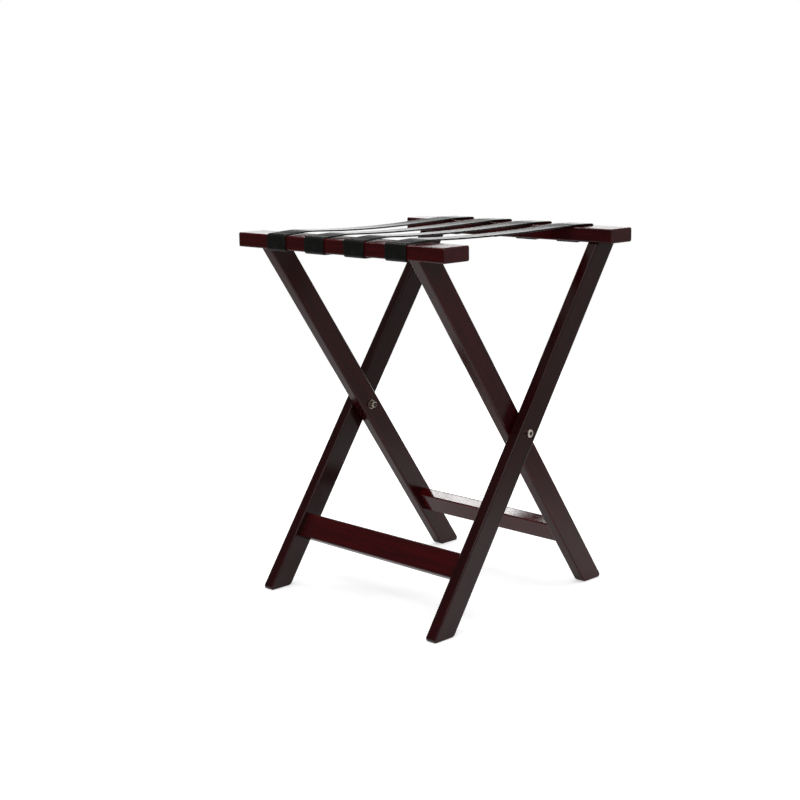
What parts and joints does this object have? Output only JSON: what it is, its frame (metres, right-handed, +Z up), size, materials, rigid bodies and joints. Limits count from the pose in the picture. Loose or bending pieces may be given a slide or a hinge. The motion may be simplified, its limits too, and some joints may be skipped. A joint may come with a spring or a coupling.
{
  "type": "folding hotel luggage bench",
  "caption": "Folding wooden luggage bench: crossed frames pivot on side bolts, and webbing straps join the two top rails to carry a suitcase.",
  "frame": {"origin": "on the floor, at the middle of the bench's footprint, standing open", "axes": "+X along the rails to the right, +Y from the front rail to the rear rail, +Z up"},
  "size_m": [0.398, 0.389, 0.522],
  "materials": {
    "rail_wood": "dark mahogany stain, semi-gloss lacquer",
    "leg_wood": "dark mahogany stain, semi-gloss lacquer",
    "stretcher_wood": "dark mahogany stain, semi-gloss lacquer",
    "dowel_wood": "plain beech, hidden in the joints",
    "webbing": "black woven webbing with a slight sheen",
    "plated_steel": "pale brass plated steel, satin",
    "spacer_nylon": "dark nylon"
  },
  "bodies": {
    "inner_frame": {"front_rail": "rail_wood", "inner_leg_left": "leg_wood", "inner_leg_right": "leg_wood", "inner_stretcher": "stretcher_wood", "front_rail_dowels": "dowel_wood", "inner_stretcher_dowels": "dowel_wood", "strap_1": "webbing", "strap_2": "webbing", "strap_3": "webbing", "strap_4": "webbing", "pivot_bolt_left": "plated_steel", "pivot_bolt_right": "plated_steel", "pivot_nut_left": "plated_steel", "pivot_nut_right": "plated_steel", "nut_washer_left": "plated_steel", "nut_washer_right": "plated_steel", "leg_spacer_left": "spacer_nylon", "leg_spacer_right": "spacer_nylon"},
    "outer_frame": {"rear_rail": "rail_wood", "outer_leg_left": "leg_wood", "outer_leg_right": "leg_wood", "outer_stretcher": "stretcher_wood", "rear_rail_dowels": "dowel_wood", "outer_stretcher_dowels": "dowel_wood"}
  },
  "joints": [
    {"name": "fold", "type": "hinge", "parent": "inner_frame", "child": "outer_frame", "pos_m": [0, 0, 0.252], "axis": [1, 0, 0], "range_deg": [0, 54], "deforming": ["strap_1", "strap_2", "strap_3", "strap_4"]}
  ]
}
